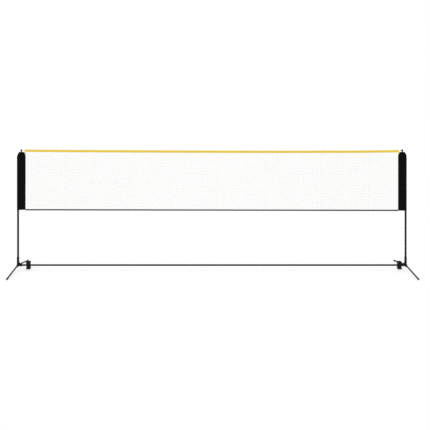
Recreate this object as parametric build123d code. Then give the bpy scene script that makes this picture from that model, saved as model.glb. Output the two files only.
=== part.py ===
from build123d import *
import os
from math import asin, atan2, degrees, hypot, radians, sin

# Portable net on poles. All sizes are in millimetres.
# The frame is +X along the net, +Y to the rear and +Z up, with the ground at Z = 0 and the origin midway
# between the poles. Everything at one end is drawn about its own pole axis, with +X towards the net's middle,
# and then set at both ends: the right end is the left end turned half a turn about the vertical.

# Overall layout
pole_spacing = 5000.0  # between the two pole axes, at the ground
rail_height = 65.0  # the rail's axis above the ground
leg_reach = 505.0  # pole axis to the centre of each rounded foot
tape_end_height = 1542.0  # middle of the top tape, at its ends
tape_sag = 14.0  # how far the top tape drops at mid-span
net_depth = 791.0  # top tape's upper edge to bottom tape's lower edge, at the ends

# Tubes
pole_diameter = 25.0
pole_wall = 1.2
upper_pole_diameter = 18.0
upper_pole_wall = 2.5
rail_diameter = 22.0
rail_wall = 1.0
leg_diameter = 19.0
leg_wall = 1.0
running_clearance = 0.1  # on the radius, wherever one tube or moulding slides in another
cutter_spare = 1.0  # how far a cutting shape stands past what it cuts, each side
corner_share = 1 / 3  # radius of a small rounded corner, as a share of the piece's height

# Poles
joint_above_sleeve_mouth = 30.0  # the poles' joint is hidden inside the sleeve
ferrule_collar = 45.0  # length of the ferrule above the joint
ferrule_spigot = 60.0  # length of the ferrule inside the lower pole
ferrule_wall = 2.0
ferrule_floor = 3.0
upper_pole_lean = 39.0  # how far the upper pole bends in by its top end

# Pole caps
cap_skirt = 30.0
cap_wall = 1.9
cap_shoulder = 5.0
cap_chamfer = 2.0
cap_neck = 20.0
cap_neck_diameter = 15.0
cap_head = 20.0
cap_hook_reach = 22.0  # from the cap's axis to the hook's nose
cap_hook_height = 10.0
cap_hook_width = 10.0
cap_crown_bevel = 5.0
cap_crown_inset = 4.0  # how far the bevel draws the crown in
hook_turn = {"left": 90.0, "right": 0.0}  # 0 points the hook at the net

# Rail
rail_sections = ("left_end", "left_middle", "centre", "right_middle", "right_end")
rail_end_gap = 6.0  # pole axis to the rail's end, inside the foot
rail_spigot = 50.0
swage_length = 5.0

# Foot moulding
collar_wall = 2.9
pole_seat_floor = 5.5  # between the rail's top and the pole's seat
pole_socket_depth = 89.0
rail_socket_reach = 55.0
rail_socket_wall = 3.0
web_thickness = 8.0
web_below_collar = 27.0
web_hollow = 0.55  # 0 is a straight web edge, 1 is a square corner
web_into_column = 2.0

# Leg hinges
knuckle_radius = 11.5
knuckle_flange = 1.5  # how far the knuckle's barrel stands above the leg tube, each side
knuckle_column_gap = 2.5  # between the knuckle's barrel and the foot's column
hinge_side_gap = 0.3
ear_thickness = 4.0
ear_margin = 1.5  # ear beyond the knuckle's barrel
ear_stem_width = 20.0
bolt_diameter = 6.0
bolt_clearance = 0.05  # on the radius
bolt_hex = 10.0
bolt_head = 4.0
nut_height = 5.5
bolt_tail = 1.5
washer_diameter = 12.0
washer_thickness = 1.2
tube_start = 14.0  # hinge axis to the leg tube's end
knuckle_spigot = 36.0
rivet_diameter = 4.0
rivet_head = 7.0
rivet_head_height = 1.0
rivet_from_end = 18.0

# Rubber feet
foot_wall = 1.4
foot_flat = 0.5  # how much of the ball is cut away at the ground
foot_sleeve = 30.0
foot_floor = 6.0  # tube's end to the ball's centre

# Screw that holds the rail in the foot moulding
screw_from_pole = 35.0
screw_diameter = 5.0
screw_length = 9.0
screw_head = 9.0
screw_head_height = 3.0
screw_boss_margin = 1.0
screw_boss_drop = 2.0

# Stowage clips on the rail
clip_length = 51.0
clip_waist = 41.0
clip_core = 11.5  # moulding between the rail and each pole trough
clip_lip = 3.0  # clip beyond a folded leg's axis
clip_ease = 0.6  # round a folded leg or a stowed pole
clip_trough_rim = 1.5  # how far a trough is deeper than its pole
clip_mouth = 4.0  # flare at each channel's and trough's mouth
clip_corner = 4.0
clip_hub_gap = 0.5  # right clip to its foot moulding
left_clip_travel = 54.0  # how far the left clip stands further in than the right one

# Net, tapes and sleeves
sleeve_width = 112.0
sleeve_ease = (0.5, 1.5)  # fabric to pole: at the outer edge, and in front and behind
sleeve_mouth_drop = 5.0  # the sleeve's mouth below the middle of the bottom tape
sleeve_top_drop = 17.0  # the sleeve's crown below the middle of the top tape
sleeve_crown = (19.0, 68.0)  # where the sleeve's flat crown begins and ends
sleeve_shoulder_drops = (66.0, 56.0)  # outer and inner shoulders below the crown
sleeve_corner = 22.0
sleeve_fabric = 1.5
eyelet_margin = 2.0  # eyelet round the cap's neck
eyelet_depth = 4.5  # cut, above and below the crown
pole_end_drop = 13.0  # upper pole's end below the sleeve's crown
net_thickness = 1.2
net_into_top_tape = 15.0
net_into_bottom_tape = 6.0
tape_height = 30.0
tape_thickness = 6.0
tape_end = 84.0  # pole axis to the top tape's end
tape_tab_width = 12.0
tape_tab_drop = 25.0  # the tab's end below the sleeve's crown
bottom_tape_height = 17.0
bottom_tape_thickness = 5.0
cord_size = 3.0
cord_clearance = 0.2
net_clearance = 0.2
cord_from_edge = 3.5  # tape's outer edge to the line's middle
cord_end_gap = 4.0

# Worked out from the sizes above: the ground frame
half_span = pole_spacing / 2
rail_length = pole_spacing - 2 * rail_end_gap
section_length = rail_length / len(rail_sections)
rail_socket_radius = rail_diameter / 2 + running_clearance + rail_socket_wall
hub_radius = pole_diameter / 2 + running_clearance + collar_wall
hub_bottom = rail_height - rail_socket_radius - running_clearance
pole_seat = rail_height + rail_diameter / 2 + pole_seat_floor
collar_top = pole_seat + pole_socket_depth
web_top = collar_top - web_below_collar
screw_seat = rail_height - rail_socket_radius - screw_boss_drop
leg_pivot_offset = hub_radius + knuckle_column_gap + knuckle_radius  # pole axis to hinge axis
foot_diameter = leg_diameter + 2 * (running_clearance + foot_wall)
foot_centre_height = foot_diameter / 2 - foot_flat
leg_drop = rail_height - foot_centre_height
leg_run = leg_reach - leg_pivot_offset
leg_length = hypot(leg_drop, leg_run)
leg_slope = degrees(atan2(leg_drop, leg_run))
knuckle_height = leg_diameter + 2 * knuckle_flange
ear_radius = knuckle_radius + ear_margin
ear_inner = knuckle_height / 2 + hinge_side_gap
ear_outer = ear_inner + ear_thickness
rivet_place = tube_start + rivet_from_end
trough_depth = pole_diameter + clip_trough_rim
clip_height = rail_diameter + 2 * (clip_core + trough_depth)
clip_depth = 2 * (leg_pivot_offset + clip_lip)
right_clip_place = rail_socket_reach + clip_hub_gap + clip_length / 2
clip_from_pole = {"left": right_clip_place + left_clip_travel, "right": right_clip_place}

# Worked out from the sizes above: the poles, the net and its sleeves
net_bottom = tape_end_height + tape_height / 2 - net_depth + bottom_tape_height / 2
sleeve_bottom = net_bottom - sleeve_mouth_drop
sleeve_top = tape_end_height - sleeve_top_drop
sleeve_outer = pole_diameter / 2 + sleeve_ease[0] + sleeve_fabric  # outer edge, beyond the pole axis
sleeve_inner = sleeve_width - sleeve_outer
sleeve_thickness = pole_diameter + 2 * (sleeve_ease[1] + sleeve_fabric)
lower_pole_top = sleeve_bottom + joint_above_sleeve_mouth
upper_pole_top = sleeve_top - pole_end_drop
bend_start = lower_pole_top + ferrule_collar
bend_rise = upper_pole_top - bend_start
bend_radius = (bend_rise**2 + upper_pole_lean**2) / (2 * upper_pole_lean)
bend_angle = degrees(asin(bend_rise / bend_radius))
cap_skirt_diameter = upper_pole_diameter + 2 * (running_clearance + cap_wall)
SIDES = ("left", "right")
PLACES = ("front", "rear")
CENTRE = Align.CENTER
BASE = (CENTRE, CENTRE, Align.MIN)


def at_end(side, shape):
    """Sets a shape drawn about its own pole axis at the left or right end of the net."""
    if side == "left":
        return Pos(-half_span, 0, 0) * shape
    return Pos(half_span, 0, 0) * Rot(0, 0, 180) * shape


def hinge_frame(side, place):
    """The frame of one leg hinge at one end: +Z along its bolt, and the opened leg runs along -Y."""
    front_hinge = Pos(0, -leg_pivot_offset, rail_height) * Rot(leg_slope, 0, 0)
    drawn_in_front = (side == "left") == (place == "front")
    if drawn_in_front:
        return front_hinge
    return Pos(0, leg_pivot_offset, rail_height) * Rot(0, 0, 180) * Rot(leg_slope, 0, 0)


def tube(outer, wall, length):
    """A round tube that stands on the XY plane."""
    return Cylinder(outer / 2, length, align=BASE) - Cylinder(outer / 2 - wall, length, align=BASE)


def turned(points):
    """A solid of revolution about Z from (radius, height) points."""
    outline = make_face(Polyline([(radius, 0, height) for radius, height in points], close=True))
    return revolve(outline, Axis.Z)


def hexagon(across_flats, height):
    """A hexagonal bar on the XY plane."""
    return extrude(RegularPolygon(across_flats / 2, 6, major_radius=False), height)


def upright_plate(outline_face, thickness):
    """A plate of an outline in the XZ plane, with its thickness shared about that plane."""
    return extrude(outline_face, thickness / 2, both=True)


# Rail


def rail_section(index):
    """One tube of the rail, with a swaged spigot that plugs into the next one."""
    outer = rail_diameter / 2
    bore = outer - rail_wall
    spigot = bore - running_clearance
    is_last = index == len(rail_sections) - 1
    if is_last:
        section = tube(rail_diameter, rail_wall, section_length)
    else:
        spigot_end = section_length + rail_spigot
        section = turned(
            [
                (outer, 0),
                (outer, section_length - swage_length),
                (spigot, section_length),
                (spigot, spigot_end),
                (spigot - rail_wall, spigot_end),
                (spigot - rail_wall, section_length),
                (bore, section_length - swage_length),
                (bore, 0),
            ]
        )
    start = -half_span + rail_end_gap + index * section_length
    section = Pos(start, 0, rail_height) * Rot(0, 90, 0) * section
    if index == 0:
        section -= at_end("left", rail_screw_hole())
    if is_last:
        section -= at_end("right", rail_screw_hole())
    return section


def rail_screw_hole():
    """The hole for the rail screw, up to the rail's axis."""
    hole = Cylinder(screw_diameter / 2 + bolt_clearance, rail_height - screw_seat, align=BASE)
    return Pos(screw_from_pole, 0, screw_seat) * hole


def rail_screw():
    """A pan-head screw from below, through the foot moulding and the rail's lower wall."""
    shank = Cylinder(screw_diameter / 2, screw_length, align=BASE)
    head = Cylinder(screw_head / 2, screw_head_height, align=(CENTRE, CENTRE, Align.MAX))
    head = fillet(head.edges().group_by(Axis.Z)[0], screw_head_height * corner_share)
    return Pos(screw_from_pole, 0, screw_seat) * (head + shank)


# Foot moulding


def corner_web():
    """The curved web between the pole's collar and the rail socket."""
    foot = rail_height + rail_diameter / 2 + rail_socket_wall / 2  # half-way through the socket's wall
    toe = (rail_socket_reach, 0, foot)
    heel = (0, 0, web_top)
    inner_low = (hub_radius, 0, foot)
    outer_high = (hub_radius - web_into_column, 0, web_top)
    middle_x = (toe[0] + outer_high[0]) / 2
    middle_z = (toe[2] + outer_high[2]) / 2
    middle = (
        middle_x + (inner_low[0] - middle_x) * web_hollow,
        0,
        middle_z + (inner_low[2] - middle_z) * web_hollow,
    )
    edges = [
        ThreePointArc(toe, middle, outer_high),
        Line(outer_high, heel),
        Line(heel, (0, 0, rail_height)),
        Line((0, 0, rail_height), (rail_socket_reach, 0, rail_height)),
        Line((rail_socket_reach, 0, rail_height), toe),
    ]
    return upright_plate(make_face(edges), web_thickness)


def hinge_ears():
    """The two ears of one leg's clevis, in the hinge frame, and their stems to the foot's column."""
    ear = Cylinder(ear_radius, ear_thickness, align=BASE)
    ear += Box(ear_stem_width, leg_pivot_offset, ear_thickness, align=(CENTRE, Align.MIN, Align.MIN))
    return Pos(0, 0, ear_inner) * ear + Pos(0, 0, -ear_outer) * ear


def hinge_hole(height):
    """The bolt's hole through one leg's clevis or knuckle, in the hinge frame."""
    return Cylinder(bolt_diameter / 2 + bolt_clearance, height)


def foot_hub(side):
    """The foot moulding: pole socket, rail socket, the web between them and two leg clevises."""
    column = Pos(0, 0, hub_bottom) * Cylinder(hub_radius, collar_top - hub_bottom, align=BASE)
    rail_socket = Rot(0, 90, 0) * Cylinder(rail_socket_radius, rail_socket_reach, align=BASE)
    boss = Cylinder(screw_head / 2 + screw_boss_margin, rail_height - screw_seat, align=BASE)
    hub = column + Pos(0, 0, rail_height) * rail_socket + corner_web()
    hub += Pos(screw_from_pole, 0, screw_seat) * boss
    for place in PLACES:
        hub += hinge_frame("left", place) * hinge_ears()
    bolt_hole = hinge_hole(2 * (ear_outer + cutter_spare))
    for place in PLACES:
        hub -= hinge_frame("left", place) * bolt_hole
    pole_bore = Cylinder(pole_diameter / 2 + running_clearance, collar_top, align=BASE)
    rail_bore = Cylinder(rail_diameter / 2 + running_clearance, rail_socket_reach, align=BASE)
    hub -= Pos(0, 0, pole_seat) * pole_bore
    hub -= Pos(rail_end_gap - running_clearance, 0, rail_height) * Rot(0, 90, 0) * rail_bore
    hub -= rail_screw_hole()
    return at_end(side, hub)


# Legs, in the hinge frame: the bolt is along Z and the opened leg runs along -Y


def along_leg(start, shape):
    """Lays a shape that stands on the XY plane along the leg, from a distance out from its hinge."""
    return Pos(0, -start, 0) * Rot(90, 0, 0) * shape


def rivet_hole():
    """The hole for the leg's rivet."""
    return Pos(0, -rivet_place, 0) * Cylinder(rivet_diameter / 2 + bolt_clearance, 2 * leg_diameter)


def leg_knuckle():
    """The moulded leg end: a barrel on the bolt, a collar flush with the tube, and a spigot inside it."""
    spigot_radius = leg_diameter / 2 - leg_wall - running_clearance
    knuckle = Cylinder(knuckle_radius, knuckle_height)
    knuckle += along_leg(0, Cylinder(leg_diameter / 2, tube_start, align=BASE))
    knuckle += along_leg(tube_start, Cylinder(spigot_radius, knuckle_spigot, align=BASE))
    knuckle -= hinge_hole(knuckle_height)
    return knuckle - rivet_hole()


def leg_tube():
    """The steel leg, from the knuckle's collar into the rubber foot."""
    length = leg_length - foot_floor - tube_start
    return along_leg(tube_start, tube(leg_diameter, leg_wall, length)) - rivet_hole()


def leg_rivet():
    """A rivet across the leg, with a flat head each side."""
    rivet = Cylinder(rivet_diameter / 2, leg_diameter)
    head = Cylinder(rivet_head / 2, rivet_head_height, align=BASE)
    rivet += Pos(0, 0, leg_diameter / 2) * head
    rivet += Pos(0, 0, -leg_diameter / 2 - rivet_head_height) * head
    return Pos(0, -rivet_place, 0) * rivet


def leg_foot():
    """The rubber foot: a sleeve over the tube's end and a ball, before it is cut flat at the ground."""
    foot = along_leg(leg_length - foot_sleeve, Cylinder(foot_diameter / 2, foot_sleeve, align=BASE))
    foot += Pos(0, -leg_length, 0) * Sphere(foot_diameter / 2)
    bore = Cylinder(leg_diameter / 2 + running_clearance, foot_sleeve - foot_floor, align=BASE)
    return foot - along_leg(leg_length - foot_sleeve, bore)


def pivot_bolt():
    """The hinge bolt, with its head above the upper washer and its thread through the lock nut."""
    grip = ear_outer + washer_thickness
    below = grip + nut_height + bolt_tail
    shank = Pos(0, 0, -below) * Cylinder(bolt_diameter / 2, below + grip, align=BASE)
    return shank + Pos(0, 0, grip) * hexagon(bolt_hex, bolt_head)


def pivot_washer(height):
    """A plain washer, standing at a height along the bolt."""
    hole = Cylinder(bolt_diameter / 2 + bolt_clearance, washer_thickness, align=BASE)
    return Pos(0, 0, height) * (Cylinder(washer_diameter / 2, washer_thickness, align=BASE) - hole)


def pivot_nut():
    """The lock nut under the lower washer."""
    nut = hexagon(bolt_hex, nut_height) - Cylinder(bolt_diameter / 2 + bolt_clearance, nut_height, align=BASE)
    return Pos(0, 0, -ear_outer - washer_thickness - nut_height) * nut


# Stowage clip


def clip_profile():
    """The clip's end view: a block about the rail with a channel each side, and a trough above and below."""
    channel_half = leg_diameter / 2 + clip_ease
    channel_root = leg_pivot_offset - channel_half
    trough_half = pole_diameter / 2 + clip_ease
    trough_root = clip_height / 2 - trough_depth
    side = clip_depth / 2
    top = clip_height / 2
    quarter = [
        (channel_root, channel_half),
        (side - clip_mouth, channel_half),
        (side, channel_half + clip_mouth),
        (side, top - clip_corner),
        (side - clip_corner, top),
        (trough_half + clip_mouth / 2, top),
        (trough_half, top - clip_mouth),
        (trough_half, trough_root),
    ]
    upper_left = [(-across, up) for across, up in reversed(quarter)]
    upper = quarter + upper_left
    lower = [(-across, -up) for across, up in upper]
    return make_face(Polyline([(0, across, up) for across, up in upper + lower], close=True))


def stowage_clip(side):
    """A waisted moulded block that slides on the rail and holds the folded legs and the unplugged poles."""
    clip = extrude(clip_profile(), clip_length / 2, dir=(1, 0, 0), both=True)
    clip -= Rot(0, 90, 0) * Cylinder(rail_diameter / 2 + running_clearance, clip_length)
    waist_depth = (clip_length - clip_waist) / 2
    waist_radius = ((clip_height / 2) ** 2 + waist_depth**2) / (2 * waist_depth)
    cutter = Rot(90, 0, 0) * Cylinder(waist_radius, clip_depth + 2 * cutter_spare)
    for sign in (-1, 1):
        clip -= Pos(sign * (clip_waist / 2 + waist_radius), 0, 0) * cutter
    return at_end(side, Pos(clip_from_pole[side], 0, rail_height) * clip)


# Poles


def lower_pole():
    """The straight steel pole, from its seat in the foot to the joint inside the sleeve."""
    return Pos(0, 0, pole_seat) * tube(pole_diameter, pole_wall, lower_pole_top - pole_seat)


def pole_ferrule():
    """A stepped ferrule: a spigot in the lower pole and a flush collar round the upper pole."""
    spigot = pole_diameter / 2 - pole_wall - running_clearance
    socket = upper_pole_diameter / 2 + running_clearance
    joint = lower_pole_top
    return turned(
        [
            (0, joint),
            (spigot - ferrule_wall, joint),
            (spigot - ferrule_wall, joint - ferrule_spigot),
            (spigot, joint - ferrule_spigot),
            (spigot, joint),
            (pole_diameter / 2, joint),
            (pole_diameter / 2, joint + ferrule_collar),
            (socket, joint + ferrule_collar),
            (socket, joint + ferrule_floor),
            (0, joint + ferrule_floor),
        ]
    )


def bent_rod(radius):
    """The part of the upper pole that bends in towards the net: a circle turned about a far axis."""
    section = Pos(0, 0, bend_start) * Circle(radius)
    far_axis = Axis((bend_radius, 0, bend_start), (0, 1, 0))
    return revolve(section, far_axis, bend_angle)


def upper_pole():
    """The flexible upper pole: straight inside its ferrule, then bent in by the pull of the net."""
    outer = upper_pole_diameter / 2
    bottom = lower_pole_top + ferrule_floor
    straight = Pos(0, 0, bottom) * tube(upper_pole_diameter, upper_pole_wall, bend_start - bottom)
    return straight + (bent_rod(outer) - bent_rod(outer - upper_pole_wall))


def pole_cap(side):
    """The moulded cap: a skirt over the pole's end, a neck for the net's eyelet, and a head with a hook."""
    skirt = cap_skirt_diameter / 2
    neck = cap_neck_diameter / 2
    socket = upper_pole_diameter / 2 + running_clearance
    neck_top = cap_shoulder + cap_neck
    crown = neck_top + cap_head
    cap = turned(
        [
            (socket, -cap_skirt),
            (skirt, -cap_skirt),
            (skirt, cap_shoulder - cap_chamfer),
            (skirt - cap_chamfer, cap_shoulder),
            (neck, cap_shoulder),
            (neck, neck_top - cap_chamfer),
            (skirt, neck_top + cap_chamfer),
            (skirt, crown - cap_crown_bevel),
            (skirt - cap_crown_inset, crown),
            (0, crown),
            (0, 0),
            (socket, 0),
        ]
    )
    arm = Box(cap_hook_reach, cap_hook_width, cap_hook_height, align=(Align.MIN, CENTRE, Align.MAX))
    arm = fillet(arm.edges().filter_by(Axis.Y).group_by(Axis.X)[-1], cap_hook_height * corner_share)
    cap += Rot(0, 0, hook_turn[side]) * Pos(0, 0, crown - cap_crown_bevel) * arm
    return Pos(upper_pole_lean, 0, upper_pole_top) * Rot(0, bend_angle, 0) * cap


# Net, tapes and sleeves


def sleeve_outline(inset):
    """The sleeve's outline, drawn in by an inset: straight sides, sloping shoulders and a flat crown."""
    low_x, high_x = -sleeve_outer + inset, sleeve_inner - inset
    crown_start, crown_end = sleeve_crown
    outer_shoulder, inner_shoulder = [sleeve_top - drop for drop in sleeve_shoulder_drops]
    points = [
        (low_x, sleeve_bottom),
        (low_x, outer_shoulder),
        (crown_start, sleeve_top - inset),
        (crown_end, sleeve_top - inset),
        (high_x, inner_shoulder),
        (high_x, sleeve_bottom),
    ]
    face = make_face(Polyline([(across, 0, up) for across, up in points], close=True))
    upper_corners = [corner for corner in face.vertices() if corner.Z > net_bottom]
    return fillet(upper_corners, sleeve_corner - inset)


def net_sleeve(side):
    """The hollow fabric sleeve: open at the bottom, with an eyelet at the top for the pole cap's neck."""
    sleeve = upright_plate(sleeve_outline(0), sleeve_thickness)
    sleeve -= upright_plate(sleeve_outline(sleeve_fabric), sleeve_thickness - 2 * sleeve_fabric)
    neck_middle = cap_shoulder + cap_neck / 2
    eyelet_x = upper_pole_lean + neck_middle * sin(radians(bend_angle))
    eyelet = Pos(eyelet_x, 0, sleeve_top) * Cylinder(cap_neck_diameter / 2 + eyelet_margin, 2 * eyelet_depth)
    return at_end(side, sleeve - eyelet)


def level_edge(reach, end_height, sag):
    """A long edge across the net from -X to +X, which drops by a sag at mid-span."""
    ends = ((-reach, 0, end_height), (reach, 0, end_height))
    if sag == 0:
        return Line(*ends)
    return ThreePointArc(ends[0], (0, 0, end_height - sag), ends[1])


def band_face(reach, low, high, low_sag, high_sag):
    """The area between two long edges, each with its own sag."""
    bottom = level_edge(reach, low, low_sag)
    top = level_edge(reach, high, high_sag)
    ends = [Line((x, 0, low), (x, 0, high)) for x in (-reach, reach)]
    return make_face([bottom, top] + ends)


def net_face(grow):
    """The net's area: between the sleeves, and up and down into the tapes."""
    reach = half_span - sleeve_inner
    low = net_bottom + bottom_tape_height / 2 - net_into_bottom_tape - grow
    high = tape_end_height - tape_height / 2 + net_into_top_tape + grow
    return band_face(reach, low, high, 0, tape_sag)


def net_pocket():
    """The space that the net takes up inside the tapes."""
    return upright_plate(net_face(net_clearance), net_thickness + 2 * net_clearance)


def cord_face(reach, height, sag, size):
    """A line's area, seen from the front."""
    return band_face(reach, height - size / 2, height + size / 2, sag, sag)


def head_cord(clearance):
    """The flat braided line inside the top tape, or with a clearance, the channel for it."""
    reach = half_span - tape_end - cord_end_gap + clearance
    height = tape_end_height + tape_height / 2 - cord_from_edge
    size = cord_size + 2 * clearance
    return upright_plate(cord_face(reach, height, tape_sag, size), size)


def foot_cord(clearance):
    """The line inside the bottom tape, or with a clearance, the channel for it."""
    reach = half_span - sleeve_inner - cord_end_gap + clearance
    height = net_bottom - bottom_tape_height / 2 + cord_from_edge
    size = cord_size + 2 * clearance
    return upright_plate(cord_face(reach, height, 0, size), size)


def top_tape():
    """The tape folded over the net's top edge, with a tab down each sleeve's shoulder."""
    reach = half_span - tape_end
    low = tape_end_height - tape_height / 2
    high = tape_end_height + tape_height / 2
    tape = upright_plate(band_face(reach, low, high, tape_sag, tape_sag), tape_thickness)
    tab_bottom = sleeve_top - tape_tab_drop
    tab_height = tape_end_height - tab_bottom
    tab = Box(tape_tab_width, tape_thickness, tab_height, align=(Align.MIN, CENTRE, Align.MIN))
    for side in SIDES:
        tape += at_end(side, Pos(tape_end, 0, tab_bottom) * tab)
    return tape - net_pocket() - head_cord(cord_clearance)


def bottom_tape():
    """The narrow tape folded over the net's bottom edge."""
    low = net_bottom - bottom_tape_height / 2
    face = band_face(half_span - sleeve_inner, low, low + bottom_tape_height, 0, 0)
    return upright_plate(face, bottom_tape_thickness) - net_pocket() - foot_cord(cord_clearance)


# Every node


def leg_nodes(side, place):
    """The four pieces of one leg."""
    frame = hinge_frame(side, place)
    half_ground = 2 * leg_reach
    below_ground = Box(2 * half_ground, 2 * half_ground, foot_diameter, align=(CENTRE, CENTRE, Align.MAX))
    name = f"{side}_{place}_leg"
    return {
        f"{name}_knuckle": at_end(side, frame * leg_knuckle()),
        f"{name}_tube": at_end(side, frame * leg_tube()),
        f"{name}_rivet": at_end(side, frame * leg_rivet()),
        f"{name}_foot": at_end(side, frame * leg_foot() - below_ground),
    }


def at_hinges(piece):
    """A copy of a piece at every leg hinge."""
    return [at_end(side, hinge_frame(side, place) * piece) for side in SIDES for place in PLACES]


def group(pieces):
    """Several separate solids in one node."""
    return Compound(children=pieces)


def all_nodes():
    """Every node's name and shape."""
    nodes = {f"{side}_foot_hub": foot_hub(side) for side in SIDES}
    for index, name in enumerate(rail_sections):
        nodes[f"rail_{name}"] = rail_section(index)
    nodes["rail_end_screws"] = group([at_end(side, rail_screw()) for side in SIDES])
    nodes["leg_pivot_bolts"] = group(at_hinges(pivot_bolt()))
    washer_heights = (ear_outer, -ear_outer - washer_thickness)
    nodes["leg_pivot_washers"] = group([w for h in washer_heights for w in at_hinges(pivot_washer(h))])
    nodes["leg_pivot_nuts"] = group(at_hinges(pivot_nut()))
    for side in SIDES:
        for place in PLACES:
            nodes.update(leg_nodes(side, place))
        nodes[f"{side}_stowage_clip"] = stowage_clip(side)
        nodes[f"{side}_lower_pole"] = at_end(side, lower_pole())
        nodes[f"{side}_pole_ferrule"] = at_end(side, pole_ferrule())
        nodes[f"{side}_upper_pole"] = at_end(side, upper_pole())
        nodes[f"{side}_pole_cap"] = at_end(side, pole_cap(side))
        nodes[f"{side}_net_sleeve"] = net_sleeve(side)
    nodes["net_panel"] = upright_plate(net_face(0), net_thickness)
    nodes["top_tape"] = top_tape()
    nodes["bottom_tape"] = bottom_tape()
    nodes["head_cord"] = head_cord(0)
    nodes["foot_cord"] = foot_cord(0)
    return nodes


os.makedirs("parts", exist_ok=True)
for node, shape in all_nodes().items():
    export_step(shape, f"parts/{node}.step")
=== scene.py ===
import bpy
import numpy as np
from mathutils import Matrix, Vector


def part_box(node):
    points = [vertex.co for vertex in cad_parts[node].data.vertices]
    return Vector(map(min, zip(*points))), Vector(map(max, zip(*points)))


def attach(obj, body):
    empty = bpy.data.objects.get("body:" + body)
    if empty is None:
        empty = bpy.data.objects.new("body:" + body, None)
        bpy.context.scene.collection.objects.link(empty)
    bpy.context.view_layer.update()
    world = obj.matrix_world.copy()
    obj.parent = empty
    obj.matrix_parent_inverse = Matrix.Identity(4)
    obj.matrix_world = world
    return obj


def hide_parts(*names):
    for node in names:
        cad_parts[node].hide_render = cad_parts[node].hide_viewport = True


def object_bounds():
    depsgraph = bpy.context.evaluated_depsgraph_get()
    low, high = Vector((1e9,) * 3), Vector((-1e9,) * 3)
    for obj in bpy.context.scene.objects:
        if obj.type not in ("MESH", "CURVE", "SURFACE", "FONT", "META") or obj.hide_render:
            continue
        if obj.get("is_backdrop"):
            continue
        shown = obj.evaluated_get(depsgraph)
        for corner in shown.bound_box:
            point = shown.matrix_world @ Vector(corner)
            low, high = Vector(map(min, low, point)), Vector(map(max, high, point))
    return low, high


# The looks of a portable net on poles, in metres, in the same frame as the solid parts: +X along the net,
# +Y to the rear, +Z up, with the ground at Z = 0. The hard parts keep their own shapes and get finishes.
# The net, its tapes, their lines and its sleeves are made here.

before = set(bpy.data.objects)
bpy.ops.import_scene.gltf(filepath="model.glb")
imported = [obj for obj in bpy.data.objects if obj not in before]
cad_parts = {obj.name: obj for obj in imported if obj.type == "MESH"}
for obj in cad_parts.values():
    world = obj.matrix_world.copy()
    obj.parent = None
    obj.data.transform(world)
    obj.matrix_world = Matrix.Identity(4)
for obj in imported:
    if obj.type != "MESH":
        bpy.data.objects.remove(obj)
solid_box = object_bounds()

SIDES = {"left": 1.0, "right": -1.0}  # +1 where the net lies towards +X from the pole
SOFT_BODY = "poles_and_net"

# Top tape
TAPE_SAG = 0.0148  # how far its middle line drops at the lowest place
SAG_SKEW = 1.94  # above 1 puts the lowest place nearer the right pole
SAG_FLATNESS = 0.36  # below 1 flattens the long middle
TAPE_RIGHT_DROP = 0.001  # right end below the left end
TAPE_HEIGHT = 0.030
TAPE_FLAT_HALF = 0.0016  # half the thickness of the folded tape
TAPE_BEAD_HALF = 0.0027  # half the thickness round the line inside it
TAPE_BEAD_PLACE = 0.84  # height of that line, as a share of the tape's height
TAPE_BEAD_WIDTH = 0.13
TAPE_TAB_TOP = (0.015, 0.010)  # where the end tabs begin and are full, in from the tape's ends
TAPE_TAB_DROP = 0.028  # how far the tabs reach below the tape's lower edge
TAPE_END_ROUND = 0.012
TAPE_WAVE = (0.0015, 0.9)  # height and length of the slow waves out of the poles' plane
TAPE_PUCKER = (0.0005, 0.035)  # height and length of the small waves along its lower edge
TAPE_END_ZONE = 0.03  # where the points stand closer
TAPE_END_COLUMNS = 40
TAPE_COLUMNS = 900
TAPE_ROWS = 18  # points up each face of a folded tape
TAPE_LIP = (0.2, 0.1)  # the folded tapes' edges turn in and up to this share of their height
TAPE_LIP_IN = 0.0006
FOLD_CLOSING = 0.9995  # just below 1, which leaves a folded tape's edge a narrow flat along the fold
FOLD_POWER = 14  # the larger, the squarer the fold

# Bottom tape
HEM_HEIGHT = 0.017
HEM_FLAT_HALF = 0.0013
HEM_BEAD_HALF = 0.0021
HEM_BEAD_PLACE = 0.35
HEM_BEAD_WIDTH = 0.25
HEM_TILT = 0.004  # left end above the middle, and right end below it
HEM_WAVE = (0.0008, 0.7)
HEM_PUCKER = (0.0004, 0.05)
HEM_COLUMNS = 600

# Lines inside the tapes
LINE_RADIUS = 0.0014
LINE_AROUND = 8
LINE_END_GAP = 0.008
HEAD_LINE_POINTS = 300
FOOT_LINE_POINTS = 200

# Net
MESH_SIZE = 0.02
TWINE_HALF = 0.00062  # half the side of a twine
KNOT_REACH = 0.0017
KNOT_HALF = 0.0011
NET_BILLOW = 0.004
NET_BILLOW_LENGTHS = (0.8, 0.7)  # of its waves, along and up
NET_BILLOW_ROUND = 0.25  # below 1 keeps the billow full until near the sleeves
NET_UNEVEN = 0.0009  # how far the mesh's crossings are out of line
NET_UNEVEN_FROM = 0.02  # share of the full billow below which the crossings stay in line
NET_IN_TAPE = 0.004  # the net's top edge above the tape's middle, inside the fold

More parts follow.
